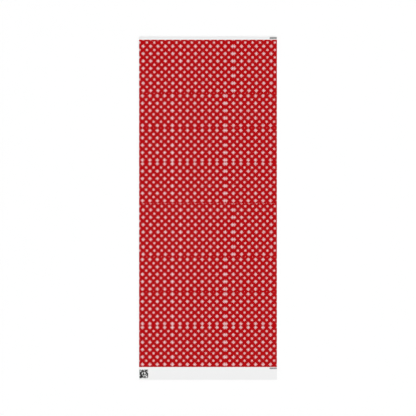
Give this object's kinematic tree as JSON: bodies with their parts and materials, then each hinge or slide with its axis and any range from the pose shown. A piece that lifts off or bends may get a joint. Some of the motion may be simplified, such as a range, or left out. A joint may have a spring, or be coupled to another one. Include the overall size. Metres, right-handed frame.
{
  "type": "wrapping paper roll",
  "caption": "Gift wrap web with a red snowflake print on its upper face and plain margins at both ends, unrolled flat, that rolls up from end to end.",
  "frame": {"origin": "centre of the unrolled web on its underside, the face that lies on the floor or table", "axes": "+Z out of the printed face; +Y along the web from the tail margin to the lead margin; +X across the web, to the right seen from above with the lead at the top"},
  "size_m": [0.6096, 1.5164, 0.0001],
  "materials": {
    "printed_paper": "satin",
    "plain_paper": "satin"
  },
  "bodies": {
    "tail": {"tail_margin": "plain_paper"},
    "strip_01": {"print_strip_01": "printed_paper"},
    "strip_02": {"print_strip_02": "printed_paper"},
    "strip_03": {"print_strip_03": "printed_paper"},
    "strip_04": {"print_strip_04": "printed_paper"},
    "strip_05": {"print_strip_05": "printed_paper"},
    "strip_06": {"print_strip_06": "printed_paper"},
    "strip_07": {"print_strip_07": "printed_paper"},
    "strip_08": {"print_strip_08": "printed_paper"},
    "strip_09": {"print_strip_09": "printed_paper"},
    "strip_10": {"print_strip_10": "printed_paper"},
    "strip_11": {"print_strip_11": "printed_paper"},
    "strip_12": {"print_strip_12": "printed_paper"},
    "strip_13": {"print_strip_13": "printed_paper"},
    "strip_14": {"print_strip_14": "printed_paper"},
    "strip_15": {"print_strip_15": "printed_paper"},
    "strip_16": {"print_strip_16": "printed_paper"},
    "strip_17": {"print_strip_17": "printed_paper"},
    "strip_18": {"print_strip_18": "printed_paper"},
    "strip_19": {"print_strip_19": "printed_paper"},
    "strip_20": {"print_strip_20": "printed_paper"},
    "strip_21": {"print_strip_21": "printed_paper"},
    "strip_22": {"print_strip_22": "printed_paper"},
    "strip_23": {"print_strip_23": "printed_paper"},
    "strip_24": {"print_strip_24": "printed_paper"},
    "strip_25": {"print_strip_25": "printed_paper"},
    "strip_26": {"print_strip_26": "printed_paper"},
    "strip_27": {"print_strip_27": "printed_paper"},
    "strip_28": {"print_strip_28": "printed_paper"},
    "strip_29": {"print_strip_29": "printed_paper"},
    "strip_30": {"print_strip_30": "printed_paper"},
    "strip_31": {"print_strip_31": "printed_paper"},
    "strip_32": {"print_strip_32": "printed_paper"},
    "strip_33": {"print_strip_33": "printed_paper"},
    "strip_34": {"print_strip_34": "printed_paper"},
    "strip_35": {"print_strip_35": "printed_paper"},
    "strip_36": {"print_strip_36": "printed_paper"},
    "strip_37": {"print_strip_37": "printed_paper"},
    "strip_38": {"print_strip_38": "printed_paper"},
    "strip_39": {"print_strip_39": "printed_paper"},
    "strip_40": {"print_strip_40": "printed_paper"},
    "strip_41": {"print_strip_41": "printed_paper"},
    "strip_42": {"print_strip_42": "printed_paper"},
    "strip_43": {"print_strip_43": "printed_paper"},
    "strip_44": {"print_strip_44": "printed_paper"},
    "strip_45": {"print_strip_45": "printed_paper"},
    "strip_46": {"print_strip_46": "printed_paper"},
    "strip_47": {"print_strip_47": "printed_paper"},
    "strip_48": {"print_strip_48": "printed_paper"},
    "strip_49": {"print_strip_49": "printed_paper"},
    "strip_50": {"print_strip_50": "printed_paper"},
    "strip_51": {"print_strip_51": "printed_paper"},
    "strip_52": {"print_strip_52": "printed_paper"},
    "strip_53": {"print_strip_53": "printed_paper"},
    "strip_54": {"print_strip_54": "printed_paper"},
    "strip_55": {"print_strip_55": "printed_paper"},
    "strip_56": {"print_strip_56": "printed_paper"},
    "lead": {"print_strip_57": "printed_paper", "lead_margin": "plain_paper"}
  },
  "joints": [
    {"name": "roll_up", "type": "hinge", "parent": "tail", "child": "strip_01", "pos_m": [0, -0.7023, 0.00011], "axis": [1, 0, 0], "range_deg": [0, 30]},
    {"name": "bend_02", "type": "hinge", "parent": "strip_01", "child": "strip_02", "pos_m": [0, -0.67241, 0.00011], "axis": [1, 0, 0], "range_deg": [0, 30]},
    {"name": "bend_03", "type": "hinge", "parent": "strip_02", "child": "strip_03", "pos_m": [0, -0.64267, 0.00011], "axis": [1, 0, 0], "range_deg": [0, 30]},
    {"name": "bend_04", "type": "hinge", "parent": "strip_03", "child": "strip_04", "pos_m": [0, -0.61308, 0.00011], "axis": [1, 0, 0], "range_deg": [0, 30]},
    {"name": "bend_05", "type": "hinge", "parent": "strip_04", "child": "strip_05", "pos_m": [0, -0.58364, 0.00011], "axis": [1, 0, 0], "range_deg": [0, 30]},
    {"name": "bend_06", "type": "hinge", "parent": "strip_05", "child": "strip_06", "pos_m": [0, -0.55436, 0.00011], "axis": [1, 0, 0], "range_deg": [0, 30]},
    {"name": "bend_07", "type": "hinge", "parent": "strip_06", "child": "strip_07", "pos_m": [0, -0.52523, 0.00011], "axis": [1, 0, 0], "range_deg": [0, 30]},
    {"name": "bend_08", "type": "hinge", "parent": "strip_07", "child": "strip_08", "pos_m": [0, -0.49625, 0.00011], "axis": [1, 0, 0], "range_deg": [0, 30]},
    {"name": "bend_09", "type": "hinge", "parent": "strip_08", "child": "strip_09", "pos_m": [0, -0.46742, 0.00011], "axis": [1, 0, 0], "range_deg": [0, 30]},
    {"name": "bend_10", "type": "hinge", "parent": "strip_09", "child": "strip_10", "pos_m": [0, -0.43875, 0.00011], "axis": [1, 0, 0], "range_deg": [0, 30]},
    {"name": "bend_11", "type": "hinge", "parent": "strip_10", "child": "strip_11", "pos_m": [0, -0.41023, 0.00011], "axis": [1, 0, 0], "range_deg": [0, 30]},
    {"name": "bend_12", "type": "hinge", "parent": "strip_11", "child": "strip_12", "pos_m": [0, -0.38186, 0.00011], "axis": [1, 0, 0], "range_deg": [0, 30]},
    {"name": "bend_13", "type": "hinge", "parent": "strip_12", "child": "strip_13", "pos_m": [0, -0.35365, 0.00011], "axis": [1, 0, 0], "range_deg": [0, 30]},
    {"name": "bend_14", "type": "hinge", "parent": "strip_13", "child": "strip_14", "pos_m": [0, -0.32558, 0.00011], "axis": [1, 0, 0], "range_deg": [0, 30]},
    {"name": "bend_15", "type": "hinge", "parent": "strip_14", "child": "strip_15", "pos_m": [0, -0.29767, 0.00011], "axis": [1, 0, 0], "range_deg": [0, 30]},
    {"name": "bend_16", "type": "hinge", "parent": "strip_15", "child": "strip_16", "pos_m": [0, -0.26992, 0.00011], "axis": [1, 0, 0], "range_deg": [0, 30]},
    {"name": "bend_17", "type": "hinge", "parent": "strip_16", "child": "strip_17", "pos_m": [0, -0.24231, 0.00011], "axis": [1, 0, 0], "range_deg": [0, 30]},
    {"name": "bend_18", "type": "hinge", "parent": "strip_17", "child": "strip_18", "pos_m": [0, -0.21486, 0.00011], "axis": [1, 0, 0], "range_deg": [0, 30]},
    {"name": "bend_19", "type": "hinge", "parent": "strip_18", "child": "strip_19", "pos_m": [0, -0.18756, 0.00011], "axis": [1, 0, 0], "range_deg": [0, 30]},
    {"name": "bend_20", "type": "hinge", "parent": "strip_19", "child": "strip_20", "pos_m": [0, -0.16041, 0.00011], "axis": [1, 0, 0], "range_deg": [0, 30]},
    {"name": "bend_21", "type": "hinge", "parent": "strip_20", "child": "strip_21", "pos_m": [0, -0.13341, 0.00011], "axis": [1, 0, 0], "range_deg": [0, 30]},
    {"name": "bend_22", "type": "hinge", "parent": "strip_21", "child": "strip_22", "pos_m": [0, -0.10657, 0.00011], "axis": [1, 0, 0], "range_deg": [0, 30]},
    {"name": "bend_23", "type": "hinge", "parent": "strip_22", "child": "strip_23", "pos_m": [0, -0.07988, 0.00011], "axis": [1, 0, 0], "range_deg": [0, 30]},
    {"name": "bend_24", "type": "hinge", "parent": "strip_23", "child": "strip_24", "pos_m": [0, -0.05334, 0.00011], "axis": [1, 0, 0], "range_deg": [0, 30]},
    {"name": "bend_25", "type": "hinge", "parent": "strip_24", "child": "strip_25", "pos_m": [0, -0.02696, 0.00011], "axis": [1, 0, 0], "range_deg": [0, 30]},
    {"name": "bend_26", "type": "hinge", "parent": "strip_25", "child": "strip_26", "pos_m": [0, -0.00072, 0.00011], "axis": [1, 0, 0], "range_deg": [0, 30]},
    {"name": "bend_27", "type": "hinge", "parent": "strip_26", "child": "strip_27", "pos_m": [0, 0.02536, 0.00011], "axis": [1, 0, 0], "range_deg": [0, 30]},
    {"name": "bend_28", "type": "hinge", "parent": "strip_27", "child": "strip_28", "pos_m": [0, 0.05129, 0.00011], "axis": [1, 0, 0], "range_deg": [0, 30]},
    {"name": "bend_29", "type": "hinge", "parent": "strip_28", "child": "strip_29", "pos_m": [0, 0.07706, 0.00011], "axis": [1, 0, 0], "range_deg": [0, 30]},
    {"name": "bend_30", "type": "hinge", "parent": "strip_29", "child": "strip_30", "pos_m": [0, 0.10268, 0.00011], "axis": [1, 0, 0], "range_deg": [0, 30]},
    {"name": "bend_31", "type": "hinge", "parent": "strip_30", "child": "strip_31", "pos_m": [0, 0.12815, 0.00011], "axis": [1, 0, 0], "range_deg": [0, 30]},
    {"name": "bend_32", "type": "hinge", "parent": "strip_31", "child": "strip_32", "pos_m": [0, 0.15347, 0.00011], "axis": [1, 0, 0], "range_deg": [0, 30]},
    {"name": "bend_33", "type": "hinge", "parent": "strip_32", "child": "strip_33", "pos_m": [0, 0.17864, 0.00011], "axis": [1, 0, 0], "range_deg": [0, 30]},
    {"name": "bend_34", "type": "hinge", "parent": "strip_33", "child": "strip_34", "pos_m": [0, 0.20365, 0.00011], "axis": [1, 0, 0], "range_deg": [0, 30]},
    {"name": "bend_35", "type": "hinge", "parent": "strip_34", "child": "strip_35", "pos_m": [0, 0.22851, 0.00011], "axis": [1, 0, 0], "range_deg": [0, 30]},
    {"name": "bend_36", "type": "hinge", "parent": "strip_35", "child": "strip_36", "pos_m": [0, 0.25322, 0.00011], "axis": [1, 0, 0], "range_deg": [0, 30]},
    {"name": "bend_37", "type": "hinge", "parent": "strip_36", "child": "strip_37", "pos_m": [0, 0.27777, 0.00011], "axis": [1, 0, 0], "range_deg": [0, 30]},
    {"name": "bend_38", "type": "hinge", "parent": "strip_37", "child": "strip_38", "pos_m": [0, 0.30218, 0.00011], "axis": [1, 0, 0], "range_deg": [0, 30]},
    {"name": "bend_39", "type": "hinge", "parent": "strip_38", "child": "strip_39", "pos_m": [0, 0.32643, 0.00011], "axis": [1, 0, 0], "range_deg": [0, 30]},
    {"name": "bend_40", "type": "hinge", "parent": "strip_39", "child": "strip_40", "pos_m": [0, 0.35052, 0.00011], "axis": [1, 0, 0], "range_deg": [0, 30]},
    {"name": "bend_41", "type": "hinge", "parent": "strip_40", "child": "strip_41", "pos_m": [0, 0.37447, 0.00011], "axis": [1, 0, 0], "range_deg": [0, 30]},
    {"name": "bend_42", "type": "hinge", "parent": "strip_41", "child": "strip_42", "pos_m": [0, 0.39826, 0.00011], "axis": [1, 0, 0], "range_deg": [0, 30]},
    {"name": "bend_43", "type": "hinge", "parent": "strip_42", "child": "strip_43", "pos_m": [0, 0.4219, 0.00011], "axis": [1, 0, 0], "range_deg": [0, 30]},
    {"name": "bend_44", "type": "hinge", "parent": "strip_43", "child": "strip_44", "pos_m": [0, 0.44539, 0.00011], "axis": [1, 0, 0], "range_deg": [0, 30]},
    {"name": "bend_45", "type": "hinge", "parent": "strip_44", "child": "strip_45", "pos_m": [0, 0.46872, 0.00011], "axis": [1, 0, 0], "range_deg": [0, 30]},
    {"name": "bend_46", "type": "hinge", "parent": "strip_45", "child": "strip_46", "pos_m": [0, 0.49191, 0.00011], "axis": [1, 0, 0], "range_deg": [0, 30]},
    {"name": "bend_47", "type": "hinge", "parent": "strip_46", "child": "strip_47", "pos_m": [0, 0.51494, 0.00011], "axis": [1, 0, 0], "range_deg": [0, 30]},
    {"name": "bend_48", "type": "hinge", "parent": "strip_47", "child": "strip_48", "pos_m": [0, 0.53781, 0.00011], "axis": [1, 0, 0], "range_deg": [0, 30]},
    {"name": "bend_49", "type": "hinge", "parent": "strip_48", "child": "strip_49", "pos_m": [0, 0.56054, 0.00011], "axis": [1, 0, 0], "range_deg": [0, 30]},
    {"name": "bend_50", "type": "hinge", "parent": "strip_49", "child": "strip_50", "pos_m": [0, 0.58311, 0.00011], "axis": [1, 0, 0], "range_deg": [0, 30]},
    {"name": "bend_51", "type": "hinge", "parent": "strip_50", "child": "strip_51", "pos_m": [0, 0.60553, 0.00011], "axis": [1, 0, 0], "range_deg": [0, 30]},
    {"name": "bend_52", "type": "hinge", "parent": "strip_51", "child": "strip_52", "pos_m": [0, 0.6278, 0.00011], "axis": [1, 0, 0], "range_deg": [0, 30]},
    {"name": "bend_53", "type": "hinge", "parent": "strip_52", "child": "strip_53", "pos_m": [0, 0.64991, 0.00011], "axis": [1, 0, 0], "range_deg": [0, 30]},
    {"name": "bend_54", "type": "hinge", "parent": "strip_53", "child": "strip_54", "pos_m": [0, 0.67188, 0.00011], "axis": [1, 0, 0], "range_deg": [0, 30]},
    {"name": "bend_55", "type": "hinge", "parent": "strip_54", "child": "strip_55", "pos_m": [0, 0.69369, 0.00011], "axis": [1, 0, 0], "range_deg": [0, 30]},
    {"name": "bend_56", "type": "hinge", "parent": "strip_55", "child": "strip_56", "pos_m": [0, 0.71534, 0.00011], "axis": [1, 0, 0], "range_deg": [0, 30]},
    {"name": "bend_57", "type": "hinge", "parent": "strip_56", "child": "lead", "pos_m": [0, 0.73685, 0.00011], "axis": [1, 0, 0], "range_deg": [0, 30]}
  ],
  "couplings": [
    {"joint": "bend_02", "follows": "roll_up", "ratio": 1},
    {"joint": "bend_03", "follows": "roll_up", "ratio": 1},
    {"joint": "bend_04", "follows": "roll_up", "ratio": 1},
    {"joint": "bend_05", "follows": "roll_up", "ratio": 1},
    {"joint": "bend_06", "follows": "roll_up", "ratio": 1},
    {"joint": "bend_07", "follows": "roll_up", "ratio": 1},
    {"joint": "bend_08", "follows": "roll_up", "ratio": 1},
    {"joint": "bend_09", "follows": "roll_up", "ratio": 1},
    {"joint": "bend_10", "follows": "roll_up", "ratio": 1},
    {"joint": "bend_11", "follows": "roll_up", "ratio": 1},
    {"joint": "bend_12", "follows": "roll_up", "ratio": 1},
    {"joint": "bend_13", "follows": "roll_up", "ratio": 1},
    {"joint": "bend_14", "follows": "roll_up", "ratio": 1},
    {"joint": "bend_15", "follows": "roll_up", "ratio": 1},
    {"joint": "bend_16", "follows": "roll_up", "ratio": 1},
    {"joint": "bend_17", "follows": "roll_up", "ratio": 1},
    {"joint": "bend_18", "follows": "roll_up", "ratio": 1},
    {"joint": "bend_19", "follows": "roll_up", "ratio": 1},
    {"joint": "bend_20", "follows": "roll_up", "ratio": 1},
    {"joint": "bend_21", "follows": "roll_up", "ratio": 1},
    {"joint": "bend_22", "follows": "roll_up", "ratio": 1},
    {"joint": "bend_23", "follows": "roll_up", "ratio": 1},
    {"joint": "bend_24", "follows": "roll_up", "ratio": 1},
    {"joint": "bend_25", "follows": "roll_up", "ratio": 1},
    {"joint": "bend_26", "follows": "roll_up", "ratio": 1},
    {"joint": "bend_27", "follows": "roll_up", "ratio": 1},
    {"joint": "bend_28", "follows": "roll_up", "ratio": 1},
    {"joint": "bend_29", "follows": "roll_up", "ratio": 1},
    {"joint": "bend_30", "follows": "roll_up", "ratio": 1},
    {"joint": "bend_31", "follows": "roll_up", "ratio": 1},
    {"joint": "bend_32", "follows": "roll_up", "ratio": 1},
    {"joint": "bend_33", "follows": "roll_up", "ratio": 1},
    {"joint": "bend_34", "follows": "roll_up", "ratio": 1},
    {"joint": "bend_35", "follows": "roll_up", "ratio": 1},
    {"joint": "bend_36", "follows": "roll_up", "ratio": 1},
    {"joint": "bend_37", "follows": "roll_up", "ratio": 1},
    {"joint": "bend_38", "follows": "roll_up", "ratio": 1},
    {"joint": "bend_39", "follows": "roll_up", "ratio": 1},
    {"joint": "bend_40", "follows": "roll_up", "ratio": 1},
    {"joint": "bend_41", "follows": "roll_up", "ratio": 1},
    {"joint": "bend_42", "follows": "roll_up", "ratio": 1},
    {"joint": "bend_43", "follows": "roll_up", "ratio": 1},
    {"joint": "bend_44", "follows": "roll_up", "ratio": 1},
    {"joint": "bend_45", "follows": "roll_up", "ratio": 1},
    {"joint": "bend_46", "follows": "roll_up", "ratio": 1},
    {"joint": "bend_47", "follows": "roll_up", "ratio": 1},
    {"joint": "bend_48", "follows": "roll_up", "ratio": 1},
    {"joint": "bend_49", "follows": "roll_up", "ratio": 1},
    {"joint": "bend_50", "follows": "roll_up", "ratio": 1},
    {"joint": "bend_51", "follows": "roll_up", "ratio": 1},
    {"joint": "bend_52", "follows": "roll_up", "ratio": 1},
    {"joint": "bend_53", "follows": "roll_up", "ratio": 1},
    {"joint": "bend_54", "follows": "roll_up", "ratio": 1},
    {"joint": "bend_55", "follows": "roll_up", "ratio": 1},
    {"joint": "bend_56", "follows": "roll_up", "ratio": 1},
    {"joint": "bend_57", "follows": "roll_up", "ratio": 1}
  ]
}
